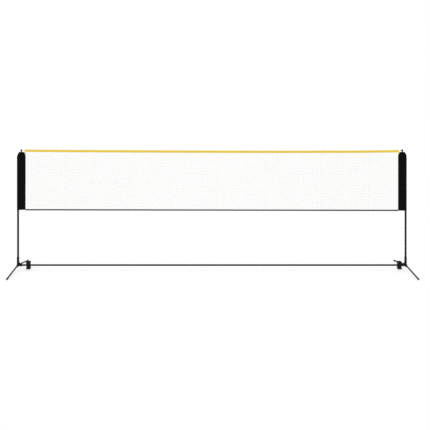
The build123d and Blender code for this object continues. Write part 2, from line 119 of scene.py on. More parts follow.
# Sleeves, measured inwards from the pole's axis
MOUTH_SHIFT = {"left": 0.008, "right": -0.002}  # mouth above or below the solid sleeve's
CROWN = (0.019, 0.068)  # where the flat crown begins and ends
SHOULDER_DROPS = (0.066, 0.056)  # outer and inner edges below the crown
SHOULDER_POWERS = {"left": (1.45, 1.7), "right": (1.7, 1.6)}  # 1 is a straight slope, 2 an ellipse
SLEEVE_EDGE_HALF = 0.0011  # half the thickness of the sewn edges
SLEEVE_EASE = 0.0014  # fabric's outside to the pole
CROWN_CLOSING = 0.007  # height over which front and back come together
EYELET_RADIUS = 0.0086
FOLD_HEIGHT = 0.0028
FOLD_SIZE = (0.026, 0.75)  # across and up
CREASE_SIZE = (0.09, 0.12)
FOLD_SHARES = (0.75, 0.35)  # of the folds and of the creases
FOLD_FADES = (0.016, 0.012, 0.03)  # how far the folds take to grow from the pole, the side edges and the top
MOUTH_HEM = 0.020
HEM_ROWS = 6
FABRIC = 0.0008
SLEEVE_ACROSS = 96
SLEEVE_UP = 150
SLEEVE_CROWDING = 1.6  # above 1 sets the rows closer towards the crown

# The poles inside the sleeves
POLE_HEIGHTS = (0.845, 0.850, 1.478, 1.482)  # where the outside changes size, going up
POLE_RADII = (0.0125, 0.0090, 0.0090, 0.0110)
BEND_START = 0.845
POLE_TOP = 1.512
POLE_LEAN = 0.039

# Stitches: their pitch and their thread's width
SLEEVE_STITCH = {"stitch": 0.004, "thread": 0.0009}
TAPE_STITCH = {"stitch": 0.0045, "thread": 0.0010}
HEM_ROW_PLACE = 0.8  # height of the sleeve mouth's stitches, as a share of its hem
SEAM_ROWS = (0.006, 0.010)  # the sleeve seam's stitches, in from the inner edge

# One seed for each irregular shape
TAPE_WAVE_SEED = 11
TAPE_PUCKER_SEED = 12
HEM_WAVE_SEED = 21
HEM_PUCKER_SEED = 22
NET_BILLOW_SEED = 31
NET_UNEVEN_SEED = 32
FOLD_SEED = 40
CREASE_SEED_STEP = 5

# Camera and studio
LENS_MM = 55.8
SENSOR_MM = 36.0
CAMERA_PLACE = (-0.181, -8.6, 2.07)
PICTURE_MIDDLE = (0.041, 0.711)  # X and Z of the point of the poles' plane in the middle of the picture
FLOOR_REACH = 300.0
FLOOR_DEPTH = 0.0003
ROOM_LIGHT = 0.5
BACKDROP_LIGHT = 1.01
SOFT_LIGHT_ANGLE = 60.0


# Shapes as whole arrays


def smooth_step(start, end, value):
    """0 before start, 1 after end, and 3t^2 - 2t^3 between them, where t is the fraction of the way."""
    t = np.clip((value - start) / (end - start), 0, 1)
    return t * t * (3 - 2 * t)


def ripples(seed, across, up, across_length, up_length, waves=7):
    """A smooth irregular surface, mostly from -1 to 1: several sine waves of unlike lengths and phases, added
    up and divided by the square root of their number."""
    chance = np.random.default_rng(seed)
    total = np.zeros(np.broadcast(across, up).shape)
    for _ in range(waves):
        across_stretch, up_stretch = chance.uniform(0.6, 1.7, 2)
        lean = chance.choice([-1, 1])
        phase = chance.uniform(0, 2 * np.pi)
        turn = across / (across_length * across_stretch) + lean * up / (up_length * up_stretch)
        total = total + np.sin(2 * np.pi * turn + phase)
    return total / np.sqrt(waves)


def grid_quads(rows, columns, wrap=False):
    """Quads between neighbouring rows and columns of a grid of points. Wrap joins its last column to its
    first."""
    index = np.arange(rows * columns).reshape(rows, columns)
    if wrap:
        index = np.hstack([index, index[:, :1]])
    corners = [index[:-1, :-1], index[:-1, 1:], index[1:, 1:], index[1:, :-1]]
    return np.stack(corners, axis=-1).reshape(-1, 4)


def ring_lid(ring):
    """Quads that close a flattened ring of points, joining each point of its first half to the one across."""
    half = len(ring) // 2
    front, back = ring[:half], ring[::-1][:half]
    return np.stack([front[:-1], front[1:], back[1:], back[:-1]], axis=-1)


def facing_out(points, faces):
    """The faces of a closed surface, turned round if they enclose a negative volume."""
    a, b, c = (points[faces[:, k]] for k in range(3))
    volume = np.einsum("ij,ij->", a, np.cross(b, c))
    if faces.shape[1] == 4:
        d = points[faces[:, 3]]
        volume += np.einsum("ij,ij->", a, np.cross(c, d))
    return faces if volume > 0 else faces[:, ::-1]


def make_piece(name, points, faces, material, uv=None, uv_faces=None):
    """A smooth mesh object from points, faces of equal size and, where given, a map in metres."""
    mesh = bpy.data.meshes.new(name)
    mesh.vertices.add(len(points))
    mesh.vertices.foreach_set("co", points.astype(np.float32).ravel())
    mesh.loops.add(faces.size)
    mesh.loops.foreach_set("vertex_index", faces.astype(np.int32).ravel())
    mesh.polygons.add(len(faces))
    mesh.polygons.foreach_set("loop_start", np.arange(0, faces.size, faces.shape[1], dtype=np.int32))
    mesh.polygons.foreach_set("use_smooth", np.ones(len(faces), bool))
    mesh.update(calc_edges=True)
    if uv is not None:
        cloth_map = mesh.uv_layers.new(name="cloth")
        cloth_map.uv.foreach_set("vector", uv[uv_faces].astype(np.float32).ravel())
    mesh.materials.append(material)
    piece = bpy.data.objects.new(name, mesh)
    bpy.context.scene.collection.objects.link(piece)
    return piece


def along_only(seed, x, height_and_length):
    """Slow or small waves of a given height and length along X."""
    height, length = height_and_length
    return height * ripples(seed, x, 0.0, length, 1.0)


def ring_piece(name, grid, uv_grid, material, lids=True, lip_points=0):
    """A piece from a grid whose rows are rings. Where the map has one column more than the points, the rings
    are closed, and the map isn't cut at their seam. Lids close the first and last rings, but leave out the
    points of the turned-in lips at an open ring's two ends."""
    rows, columns = grid.shape[:2]
    map_columns = uv_grid.shape[1]
    points = grid.reshape(-1, 3)
    faces = grid_quads(rows, columns, wrap=map_columns > columns)
    uv_faces = grid_quads(rows, map_columns)
    if lids:
        lid = ring_lid(np.arange(lip_points, columns - lip_points))
        faces = np.vstack([faces, lid[:, ::-1], lid + (rows - 1) * columns])
        uv_faces = np.vstack([uv_faces, lid[:, ::-1], lid + (rows - 1) * map_columns])
    turned = facing_out(points, faces)
    if turned is not faces:
        uv_faces = uv_faces[:, ::-1]
    return make_piece(name, points, turned, material, uv_grid.reshape(-1, 2), uv_faces)


# Lines that the soft pieces follow


def tape_ends():
    """Where the top tape starts and ends along X."""
    low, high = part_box("top_tape")
    return low.x, high.x


def net_ends():
    """Where the net starts and ends along X, at the sleeves."""
    low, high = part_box("net_panel")
    return low.x, high.x


def tape_middle(x):
    """Height of the top tape's middle line: the sine of a skewed fraction of the span, raised to a power that
    flattens it, hung below a line that drops a little to the right."""
    start, end = tape_ends()
    fraction = np.clip((x - start) / (end - start), 0, 1)
    sag = TAPE_SAG * np.clip(np.sin(np.pi * fraction**SAG_SKEW), 0, 1) ** SAG_FLATNESS
    end_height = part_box("top_tape")[1].z - TAPE_HEIGHT / 2
    return end_height - sag - TAPE_RIGHT_DROP * fraction


def hem_middle(x):
    """Height of the bottom tape's middle line, which is straight and a little lower at the right."""
    low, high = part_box("bottom_tape")
    return (low.z + high.z) / 2 - HEM_TILT * x / high.x


def tape_wave(x):
    """How far the top tape stands out of the poles' plane."""
    return along_only(TAPE_WAVE_SEED, x, TAPE_WAVE)


def hem_wave(x):
    """How far the bottom tape stands out of the poles' plane."""
    return along_only(HEM_WAVE_SEED, x, HEM_WAVE)


# Tapes


def folded_outline(share, flat_half, bead_half, bead_place, bead_width):
    """Half the thickness of a folded tape at a share of its height: flat, with a bell-shaped bead round the
    line inside it, closing in a round fold at the top."""
    bead = (bead_half - flat_half) * np.exp(-(((share - bead_place) / bead_width) ** 2))
    fold = np.sqrt(1 - (FOLD_CLOSING * share) ** FOLD_POWER)
    return (flat_half + bead) * fold


def folded_tape(name, x, lower, upper, wave, outline, material):
    """A tape folded over an edge: at each x, a line of points goes down the turned-in edge in front, up the
    front, over the fold, down the back and up the turned-in edge behind. The map runs along the tape and up
    from its lower edge, in metres, behind as well as in front."""
    rising = (1 - np.cos(np.pi * np.arange(TAPE_ROWS) / (TAPE_ROWS - 1))) / 2
    front_share = np.concatenate([TAPE_LIP, rising])
    drawn_in = np.concatenate([np.full(len(TAPE_LIP), TAPE_LIP_IN), np.zeros(TAPE_ROWS)])
    front = -(outline(front_share) - drawn_in)
    share = np.concatenate([front_share, front_share[::-1]])
    half = np.concatenate([front, -front[::-1]])
    height = (upper - lower)[:, None]
    z = lower[:, None] + height * share
    grid = np.stack(np.broadcast_arrays(x[:, None], wave[:, None] + half, z), axis=-1)
    uv = np.stack(np.broadcast_arrays(x[:, None], height * share), axis=-1)
    return ring_piece(name, grid, uv, material, lip_points=len(TAPE_LIP))


def top_tape(material):
    """The yellow tape: its lower edge drops in a smooth step to a tab at each end, its upper edge is rounded
    off by a quarter circle there, and small puckers run along its lower edge."""
    start, end = tape_ends()
    near_start = np.linspace(start, start + TAPE_END_ZONE, TAPE_END_COLUMNS)
    middle = np.linspace(start + TAPE_END_ZONE, end - TAPE_END_ZONE, TAPE_COLUMNS)
    near_end = np.linspace(end - TAPE_END_ZONE, end, TAPE_END_COLUMNS)
    x = np.concatenate([near_start[:-1], middle, near_end[1:]])
    from_end = np.minimum(x - start, end - x)
    tab = 1 - smooth_step(TAPE_TAB_TOP[1], TAPE_TAB_TOP[0], from_end)
    beyond_round = np.clip(TAPE_END_ROUND - from_end, 0, TAPE_END_ROUND)
    rounding = TAPE_END_ROUND - np.sqrt(TAPE_END_ROUND**2 - beyond_round**2)
    pucker = along_only(TAPE_PUCKER_SEED, x, TAPE_PUCKER)
    lower = tape_middle(x) - TAPE_HEIGHT / 2 - TAPE_TAB_DROP * tab + pucker
    upper = tape_middle(x) + TAPE_HEIGHT / 2 - rounding

    def outline(share):
        return folded_outline(share, TAPE_FLAT_HALF, TAPE_BEAD_HALF, TAPE_BEAD_PLACE, TAPE_BEAD_WIDTH)

    piece = folded_tape("top_tape_band", x, lower, upper, tape_wave(x), outline, material)
    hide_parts("top_tape")
    return piece


def bottom_tape(material):
    """The narrow black tape folded under the net's lower edge, with its line in the lower half."""
    start, end = net_ends()
    x = np.linspace(start, end, HEM_COLUMNS)
    pucker = along_only(HEM_PUCKER_SEED, x, HEM_PUCKER)
    lower = hem_middle(x) - HEM_HEIGHT / 2 + pucker
    upper = hem_middle(x) + HEM_HEIGHT / 2 + pucker

    def outline(share):
        from_top = 1 - share
        return folded_outline(from_top, HEM_FLAT_HALF, HEM_BEAD_HALF, 1 - HEM_BEAD_PLACE, HEM_BEAD_WIDTH)

    piece = folded_tape("bottom_tape_band", x, lower, upper, hem_wave(x), outline, material)
    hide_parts("bottom_tape")
    return piece


def line_in_tape(name, x, y, z, node, material):
    """A round line along the given points: a circle of points about each, set across X."""
    turn = 2 * np.pi * np.arange(LINE_AROUND) / LINE_AROUND
    ring_y = y[:, None] + LINE_RADIUS * np.cos(turn)
    ring_z = z[:, None] + LINE_RADIUS * np.sin(turn)
    grid = np.stack([np.broadcast_to(x[:, None], ring_y.shape), ring_y, ring_z], axis=-1)
    round_it = LINE_RADIUS * 2 * np.pi * np.arange(LINE_AROUND + 1) / LINE_AROUND
    uv = np.stack(np.broadcast_arrays(x[:, None], round_it), axis=-1)
    piece = ring_piece(name, grid, uv, material)
    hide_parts(node)
    return piece


def tape_lines(material):
    """The lines inside the two tapes, at the beads in their sections."""
    start, end = tape_ends()
    x = np.linspace(start + LINE_END_GAP, end - LINE_END_GAP, HEAD_LINE_POINTS)
    z = tape_middle(x) + (TAPE_BEAD_PLACE - 0.5) * TAPE_HEIGHT
    head = line_in_tape("head_line", x, tape_wave(x), z, "head_cord", material)
    start, end = net_ends()
    x = np.linspace(start + LINE_END_GAP, end - LINE_END_GAP, FOOT_LINE_POINTS)
    z = hem_middle(x) + (HEM_BEAD_PLACE - 0.5) * HEM_HEIGHT
    foot = line_in_tape("foot_line", x, hem_wave(x), z, "foot_cord", material)
    return [head, foot]


# Net


def mesh_crossings():
    """Where the net's twines cross, as [column, row, xyz]: even columns between the sleeves and even rows
    between the tapes, with a slow billow that fades at all four edges and a slight unevenness."""
    start, end = net_ends()
    columns = round((end - start) / MESH_SIZE) + 1
    x = np.linspace(start, end, columns)[:, None]
    low, high = hem_middle(x), tape_middle(x) + NET_IN_TAPE
    rows = round(float((high - low).mean()) / MESH_SIZE) + 1
    share = np.linspace(0, 1, rows)[None, :]
    z = low + (high - low) * share
    along = (x - start) / (end - start)
    fade = np.sin(np.pi * share) * np.clip(np.sin(np.pi * along), 0, 1) ** NET_BILLOW_ROUND
    billow = NET_BILLOW * fade * ripples(NET_BILLOW_SEED, x, z, *NET_BILLOW_LENGTHS)
    y = tape_wave(x) * share + hem_wave(x) * (1 - share) + billow
    chance = np.random.default_rng(NET_UNEVEN_SEED)
    uneven_x, uneven_z = NET_UNEVEN * chance.uniform(-1, 1, (2, columns, rows)) * (fade > NET_UNEVEN_FROM)
    return np.stack(np.broadcast_arrays(x + uneven_x, y, z + uneven_z), axis=-1)


def twines(lines, across):
    """Square-section twines along many lines of points, [line, point, xyz]: each point becomes four corners,
    half a twine out along Y and along the given axis. Both ends of each are closed."""
    out_y = np.array([0, TWINE_HALF, 0])
    out_across = TWINE_HALF * np.array(across)
    corners = np.array([out_y + out_across, out_y - out_across, -out_y - out_across, -out_y + out_across])
    points = lines[:, :, None, :] + corners
    index = np.arange(points[..., 0].size).reshape(points.shape[:3])
    following = np.roll(index, -1, axis=2)
    walls = np.stack([index[:, :-1], following[:, :-1], following[:, 1:], index[:, 1:]], axis=-1)
    faces = np.vstack([walls.reshape(-1, 4), index[:, 0, ::-1], index[:, -1]])
    points = points.reshape(-1, 3)
    return points, facing_out(points, faces)


def net_twines(crossings, material):
    """Every upright and level twine of the net."""
    upright_points, upright_faces = twines(crossings, (1, 0, 0))
    level_points, level_faces = twines(crossings.transpose(1, 0, 2), (0, 0, 1))
    points = np.vstack([upright_points, level_points])
    faces = np.vstack([upright_faces, level_faces + len(upright_points)])
    return make_piece("net_twines", points, faces, material)


def net_knots(crossings, material):
    """A small eight-sided knot at each crossing: a point out each way along X, Y and Z."""
    reach = np.diag([KNOT_REACH, KNOT_HALF, KNOT_REACH])
    tips = np.vstack([reach, -reach])
    centres = crossings[1:-1, 1:-1].reshape(-1, 1, 3)
    points = (centres + tips).reshape(-1, 3)
    upper = np.array([[0, 1, 2], [1, 3, 2], [3, 4, 2], [4, 0, 2]])
    lower = np.array([[1, 0, 5], [3, 1, 5], [4, 3, 5], [0, 4, 5]])
    one = np.vstack([upper, lower])
    faces = (np.arange(len(centres))[:, None, None] * len(tips) + one).reshape(-1, 3)
    return make_piece("net_knots", points, facing_out(points, faces), material)


def net(material):
    """The net, as one sheet of twines with its knots."""
    crossings = mesh_crossings()
    twine_piece = net_twines(crossings, material)
    knot_piece = net_knots(crossings, material)
    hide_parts("net_panel")
    for piece in (twine_piece, knot_piece):
        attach(piece, SOFT_BODY)


# Sleeves, drawn about their own pole's axis with +X towards the net


def pole_bend(z):
    """How far in the pole's axis is at a height: straight, then a circle that leans in by POLE_LEAN."""
    rise = POLE_TOP - BEND_START
    radius = (rise**2 + POLE_LEAN**2) / (2 * POLE_LEAN)
    climbed = np.clip(z - BEND_START, 0, radius)
    return radius - np.sqrt(radius**2 - climbed**2)


def sleeve_top(x, crown, edges, powers):
    """Height of the sleeve's upper edge: the crown, and on each shoulder a curve that drops from it to the
    sleeve's side, like a quarter ellipse with a power of its own."""
    starts = ((CROWN[0] - x) / (CROWN[0] - edges[0]), (x - CROWN[1]) / (edges[1] - CROWN[1]))
    drop = 0
    for share, depth, power in zip(starts, SHOULDER_DROPS, powers):
        share = np.clip(share, 0, 1)
        drop = drop + depth * (1 - (1 - share**power) ** (1 / power))
    return crown - drop


def stretched_half(x, z, edges):
    """Half the sleeve's thickness, as fabric pulled tight round the pole: the pole's circle between the two
    places where a straight line from each side edge touches it, and those straight lines beyond them. Also
    how far each point is beyond the place where the fabric leaves the pole."""
    radius = np.interp(z, POLE_HEIGHTS, POLE_RADII) + SLEEVE_EASE
    away = x - pole_bend(z)
    reach = np.where(away < 0, pole_bend(z) - edges[0], edges[1] - pole_bend(z))
    touch = radius**2 / reach
    at_touch = radius * np.sqrt(1 - (radius / reach) ** 2)
    circle = np.sqrt(np.clip(radius**2 - away**2, 0, None))
    straight = at_touch * (reach - np.abs(away)) / (reach - touch)
    half = np.where(np.abs(away) < touch, circle, straight)
    return np.hypot(half, SLEEVE_EDGE_HALF), np.clip(np.abs(away) - touch, 0, None)


def sleeve_halves(x, z, top, edges, seed):
    """Half the thickness in front and behind: the stretched shape, closed over the last CROWN_CLOSING below
    the upper edge but for a round eyelet, plus upright folds and wider creases where the fabric is free of
    the pole."""
    half, free = stretched_half(x, z, edges)
    below = np.clip((top - z) / CROWN_CLOSING, 0, 1)
    closed = half * np.sqrt(1 - (1 - below) ** 2)
    eyelet_middle = pole_bend(top.max())
    neck = np.sqrt(np.clip(EYELET_RADIUS**2 - (x - eyelet_middle) ** 2, 0, None))
    near_crown = smooth_step(top.max() - 2 * CROWN_CLOSING, top.max(), z)
    half = np.maximum(closed, neck * near_crown)
    from_edge = np.minimum(x - edges[0], edges[1] - x)
    room = 1
    for distance, fade in zip((free, from_edge, top - z), FOLD_FADES):
        room = room * smooth_step(0, fade, distance)
    for layer in range(2):
        folds = ripples(seed + layer, x, z, *FOLD_SIZE)
        creases = ripples(seed + CREASE_SEED_STEP + layer, x, z, *CREASE_SIZE)
        yield half + FOLD_HEIGHT * room * (FOLD_SHARES[0] * folds + FOLD_SHARES[1] * creases)


def mouth_hem(mouth_ring, edges):
    """The turned-in hem at the sleeve's mouth: copies of the mouth's ring, a fabric's thickness inside it,
    from the hem's upper edge down to the mouth."""
    x, y, z = (mouth_ring[..., axis] for axis in range(3))
    middle = sum(edges) / 2
    inside_x = middle + (x - middle) * (1 - 2 * FABRIC / (edges[1] - edges[0]))
    inside_y = np.clip(np.abs(y) - FABRIC, FABRIC / 4, None) * np.sign(y)
    lifted = z + np.linspace(MOUTH_HEM, 0, HEM_ROWS)[:, None]
    return np.stack(np.broadcast_arrays(inside_x, inside_y, lifted), axis=-1)


def sleeve_rings(across, mouth, rise, top, edges, seed):
    """Rings of points round the sleeve, about its own pole: the hem's, and then the outside's, from the mouth
    up to the upper edge. Each ring runs inwards in front and back outwards behind."""
    z = mouth + (top - mouth) * rise
    x = np.broadcast_to(across, z.shape)
    front, back = sleeve_halves(x, z, np.broadcast_to(top, z.shape), edges, seed)
    round_it = [np.hstack([x, x[:, ::-1]]), np.hstack([-front, back[:, ::-1]]), np.hstack([z, z[:, ::-1]])]
    outside = np.stack(round_it, axis=-1)
    return np.vstack([mouth_hem(outside[:1], edges), outside])


def sleeve_map(across, rise, height, edges):
    """The sleeve's map, in metres: round it from the outer edge, and up from the mouth. Its last column
    closes the ring."""
    width = edges[1] - edges[0]
    in_front = across - edges[0]
    behind = 2 * width - in_front[::-1]
    along_cloth = np.concatenate([in_front, behind, behind[-1:]])
    up_cloth = np.concatenate([-np.linspace(MOUTH_HEM, 0, HEM_ROWS), (rise * height)[:, 0]])
    return np.stack(np.broadcast_arrays(along_cloth[None, :], up_cloth[:, None]), axis=-1)


def net_sleeve(side, material):
    """One sleeve, between the solid sleeve's side edges and up to its crown. Points stand closer towards the
    side edges and the crown."""
    node = f"{side}_net_sleeve"
    low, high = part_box(node)
    inward = SIDES[side]
    pole_x = sum(corner.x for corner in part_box(f"{side}_lower_pole")) / 2
    edges = sorted(inward * (corner.x - pole_x) for corner in (low, high))
    width = edges[1] - edges[0]
    mouth = low.z + MOUTH_SHIFT[side]
    across = edges[0] + width * (1 - np.cos(np.pi * np.linspace(0, 1, SLEEVE_ACROSS))) / 2
    rise = 1 - (1 - np.linspace(0, 1, SLEEVE_UP)[:, None]) ** SLEEVE_CROWDING
    top = sleeve_top(across, high.z, edges, SHOULDER_POWERS[side])
    grid = sleeve_rings(across, mouth, rise, top, edges, seed=FOLD_SEED + int(inward))
    grid = grid * np.array([inward, inward, 1]) + np.array([pole_x, 0, 0])
    uv = sleeve_map(across, rise, high.z - mouth, edges)
    piece = ring_piece(f"{side}_sleeve_cloth", grid, uv, material, lids=False)
    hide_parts(node)
    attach(piece, SOFT_BODY)


# Shader nodes


def add_node(tree, kind, inputs=None, **settings):
    """One shader node with its settings, and its inputs, each a constant or the socket that feeds it."""
    made = tree.nodes.new(kind)
    for name, value in settings.items():
        setattr(made, name, value)
    for name, value in (inputs or {}).items():
        if isinstance(value, bpy.types.NodeSocket):
            tree.links.new(value, made.inputs[name])
        else:
            made.inputs[name].default_value = value
    return made


def maths(tree, operation, first, second=0.0):
    """The result of one sum on two numbers or sockets."""
    return add_node(tree, "ShaderNodeMath", {0: first, 1: second}, operation=operation).outputs[0]


def remap(tree, value, low, high, to_low, to_high):
    """A value carried from one range to another, and held at its ends."""
    inputs = {"Value": value, "From Min": low, "From Max": high, "To Min": to_low, "To Max": to_high}
    return add_node(tree, "ShaderNodeMapRange", inputs).outputs[0]


def mix_colours(tree, share, first, second):
    """A colour between two others."""
    inputs = {0: share, 6: first, 7: second}
    return add_node(tree, "ShaderNodeMix", inputs, data_type="RGBA").outputs[2]


def noise(tree, vector, scale, detail=3.0):
    """Cloudy noise from 0 to 1."""
    inputs = {"Vector": vector, "Scale": scale, "Detail": detail}
    return add_node(tree, "ShaderNodeTexNoise", inputs).outputs[0]


def rgb(red, green, blue):
    """An opaque colour."""
    return (red, green, blue, 1.0)


def grey(value):
    """An opaque grey."""
    return rgb(value, value, value)


def new_effect(name, inputs, outputs):
    """An empty shader node group with named number or vector inputs and number outputs."""
    group = bpy.data.node_groups.new(name, "ShaderNodeTree")
    for label, kind in inputs:
        group.interface.new_socket(label, in_out="INPUT", socket_type=kind)
    for label in outputs:
        group.interface.new_socket(label, in_out="OUTPUT", socket_type="NodeSocketFloat")
    source = group.nodes.new("NodeGroupInput")
    result = group.nodes.new("NodeGroupOutput")
    return group, source, result


def grain_effect():
    """Fine grain and broad patches: two noises whose scales are one over the given sizes."""
    inputs = [("Vector", "NodeSocketVector")]
    inputs += [(label, "NodeSocketFloat") for label in ("Grain Size", "Patch Size")]
    group, source, result = new_effect("grain_and_patches", inputs, ["Grain", "Patches"])
    for label, size, detail in (("Grain", "Grain Size", 2.0), ("Patches", "Patch Size", 4.0)):
        scale = maths(group, "DIVIDE", 1.0, source.outputs[size])
        group.links.new(noise(group, source.outputs["Vector"], scale, detail), result.inputs[label])
    return group


def weave_effect():
    """A plain weave: the two threads' rounded humps, each shown on every other square of a checkerboard."""
    inputs = [("Vector", "NodeSocketVector"), ("Pitch", "NodeSocketFloat")]
    group, source, result = new_effect("plain_weave", inputs, ["Height", "Gaps"])
    split = add_node(group, "ShaderNodeSeparateXYZ", {0: source.outputs["Vector"]})
    humps, cells = [], []
    for axis in ("X", "Y"):
        place = maths(group, "DIVIDE", split.outputs[axis], source.outputs["Pitch"])
        wave = maths(group, "SINE", maths(group, "MULTIPLY", place, np.pi))
        humps.append(maths(group, "ABSOLUTE", wave))
        cells.append(maths(group, "FLOOR", place))
    square = maths(group, "PINGPONG", maths(group, "ADD", *cells), 1.0)
    over = maths(group, "MULTIPLY", humps[0], square)
    under = maths(group, "MULTIPLY", humps[1], maths(group, "SUBTRACT", 1.0, square))
    height = maths(group, "ADD", over, under)
    group.links.new(height, result.inputs["Height"])
    group.links.new(remap(group, height, 0.0, 0.35, 1.0, 0.0), result.inputs["Gaps"])
    return group


def stitch_effect():
    """A row of stitches: dashes along a line, each a hump across the thread and along the stitch."""
    inputs = [(label, "NodeSocketFloat") for label in ("Along", "Away", "Stitch", "Thread")]
    group, source, result = new_effect("stitch_row", inputs, ["Thread"])
    step = maths(group, "FRACT", maths(group, "DIVIDE", source.outputs["Along"], source.outputs["Stitch"]))
    from_middle = maths(group, "ABSOLUTE", maths(group, "SUBTRACT", step, 0.5))
    dash = remap(group, from_middle, 0.33, 0.42, 1.0, 0.0)
    off = maths(group, "DIVIDE", maths(group, "ABSOLUTE", source.outputs["Away"]), source.outputs["Thread"])
    row = remap(group, off, 0.25, 0.6, 1.0, 0.0)
    group.links.new(maths(group, "MULTIPLY", dash, row), result.inputs["Thread"])
    return group


def scuff_effect():
    """Scuffs and ground dust: thin broken scratches from a stretched noise, and a dusty share that fades with
    height above the ground."""
    inputs = [("Vector", "NodeSocketVector"), ("Dust Height", "NodeSocketFloat")]
    group, source, result = new_effect("scuffs_and_dust", inputs, ["Scuffs", "Dust"])
    place = source.outputs["Vector"]
    stretch = add_node(group, "ShaderNodeMapping", {"Vector": place, "Scale": (60, 400, 400)})
    scratches = remap(group, noise(group, stretch.outputs[0], 1.0, 1.0), 0.66, 0.72, 0, 1)
    patches = remap(group, noise(group, place, 9.0), 0.5, 0.62, 0, 1)
    group.links.new(maths(group, "MULTIPLY", scratches, patches), result.inputs["Scuffs"])
    height = add_node(group, "ShaderNodeSeparateXYZ", {0: place}).outputs["Z"]
    low = maths(group, "SUBTRACT", 1.0, maths(group, "DIVIDE", height, source.outputs["Dust Height"]))
    near_ground = maths(group, "MAXIMUM", low, 0.0)
    cloudy = remap(group, noise(group, place, 70.0, 5.0), 0.4, 0.7, 0.1, 1.0)
    group.links.new(maths(group, "MULTIPLY", near_ground, cloudy), result.inputs["Dust"])
    return group


GRAIN = grain_effect()
WEAVE = weave_effect()
STITCHES = stitch_effect()
SCUFFS = scuff_effect()


def use_effect(tree, group, **inputs):
    """A shared effect placed in a material. Its inputs are given in lower case with underscores."""
    named = {label.replace("_", " ").title(): value for label, value in inputs.items()}
    made = tree.nodes.new("ShaderNodeGroup")
    made.node_tree = group
    for label, value in named.items():
        if isinstance(value, bpy.types.NodeSocket):
            tree.links.new(value, made.inputs[label])
        else:
            made.inputs[label].default_value = value
    return made


def new_finish(name, **constants):
    """A material with a Principled surface. Its plain values are set on the surface's own sockets."""
    material = bpy.data.materials.new(name)
    material.use_nodes = True
    tree = material.node_tree
    surface = tree.nodes["Principled BSDF"]
    for label, value in constants.items():
        surface.inputs[label.replace("_", " ").title().replace("Ior", "IOR")].default_value = value
    return material, tree, surface


def bump(tree, surface, height, distance, strength=1.0):
    """Raises the surface by a height from 0 to 1, over a real distance."""
    made = add_node(tree, "ShaderNodeBump", {"Height": height, "Distance": distance, "Strength": strength})
    tree.links.new(made.outputs[0], surface.inputs["Normal"])


def own_place(tree):
    """The piece's own coordinates, in metres."""
    return tree.nodes.new("ShaderNodeTexCoord").outputs["Object"]


def cloth_place(tree):
    """The cloth's own map, in metres, and its two parts."""
    place = add_node(tree, "ShaderNodeUVMap", uv_map="cloth").outputs[0]
    split = add_node(tree, "ShaderNodeSeparateXYZ", {0: place})
    return place, split.outputs["X"], split.outputs["Y"]


# Finishes


def painted_tube():
    """Black powder coat: orange-peel texture, cloudy gloss, thin scuffs down to grey and dust near the
    ground."""
    material, tree, surface = new_finish("black_powder_coat", specular_ior_level=0.14)
    place = own_place(tree)
    grain = use_effect(tree, GRAIN, vector=place, grain_size=0.0016, patch_size=0.09)
    marks = use_effect(tree, SCUFFS, vector=place, dust_height=0.12)
    paint = mix_colours(tree, grain.outputs["Patches"], rgb(0.003, 0.003, 0.0034), rgb(0.008, 0.008, 0.0084))
    scuffed = mix_colours(tree, marks.outputs["Scuffs"], paint, grey(0.04))
    dust = maths(tree, "MULTIPLY", marks.outputs["Dust"], 0.07)
    tree.links.new(mix_colours(tree, dust, scuffed, rgb(0.25, 0.24, 0.21)), surface.inputs["Base Color"])
    tree.links.new(remap(tree, grain.outputs["Patches"], 0.3, 0.7, 0.32, 0.5), surface.inputs["Roughness"])
    bump(tree, surface, grain.outputs["Grain"], 0.00006)
    return material


def moulded_plastic(name, dark, light, dust_share):
    """Black moulding: a fine spark-eroded grain, cloudy colour and dust near the ground."""
    material, tree, surface = new_finish(name, specular_ior_level=0.1)
    place = own_place(tree)
    grain = use_effect(tree, GRAIN, vector=place, grain_size=0.0007, patch_size=0.025)
    marks = use_effect(tree, SCUFFS, vector=place, dust_height=0.16)
    body = mix_colours(tree, grain.outputs["Patches"], dark, light)
    scuffs = maths(tree, "MULTIPLY", marks.outputs["Scuffs"], 0.5)
    scuffed = mix_colours(tree, scuffs, body, grey(0.08))
    dust = maths(tree, "MULTIPLY", marks.outputs["Dust"], dust_share)
    tree.links.new(mix_colours(tree, dust, scuffed, rgb(0.22, 0.21, 0.18)), surface.inputs["Base Color"])
    tree.links.new(remap(tree, grain.outputs["Grain"], 0.3, 0.7, 0.46, 0.62), surface.inputs["Roughness"])
    bump(tree, surface, grain.outputs["Grain"], 0.00008)
    return material


def rubber():
    """Black rubber: dull, pitted and dusty towards the ground."""
    material, tree, surface = new_finish("black_rubber_foot", specular_ior_level=0.15)
    place = own_place(tree)
    grain = use_effect(tree, GRAIN, vector=place, grain_size=0.0011, patch_size=0.012)
    marks = use_effect(tree, SCUFFS, vector=place, dust_height=0.035)
    body = mix_colours(tree, grain.outputs["Patches"], grey(0.006), rgb(0.015, 0.015, 0.014))
    dust = maths(tree, "MULTIPLY", marks.outputs["Dust"], 0.2)
    tree.links.new(mix_colours(tree, dust, body, rgb(0.24, 0.22, 0.19)), surface.inputs["Base Color"])
    tree.links.new(remap(tree, grain.outputs["Grain"], 0.3, 0.7, 0.7, 0.9), surface.inputs["Roughness"])
    bump(tree, surface, grain.outputs["Grain"], 0.00015)
    return material


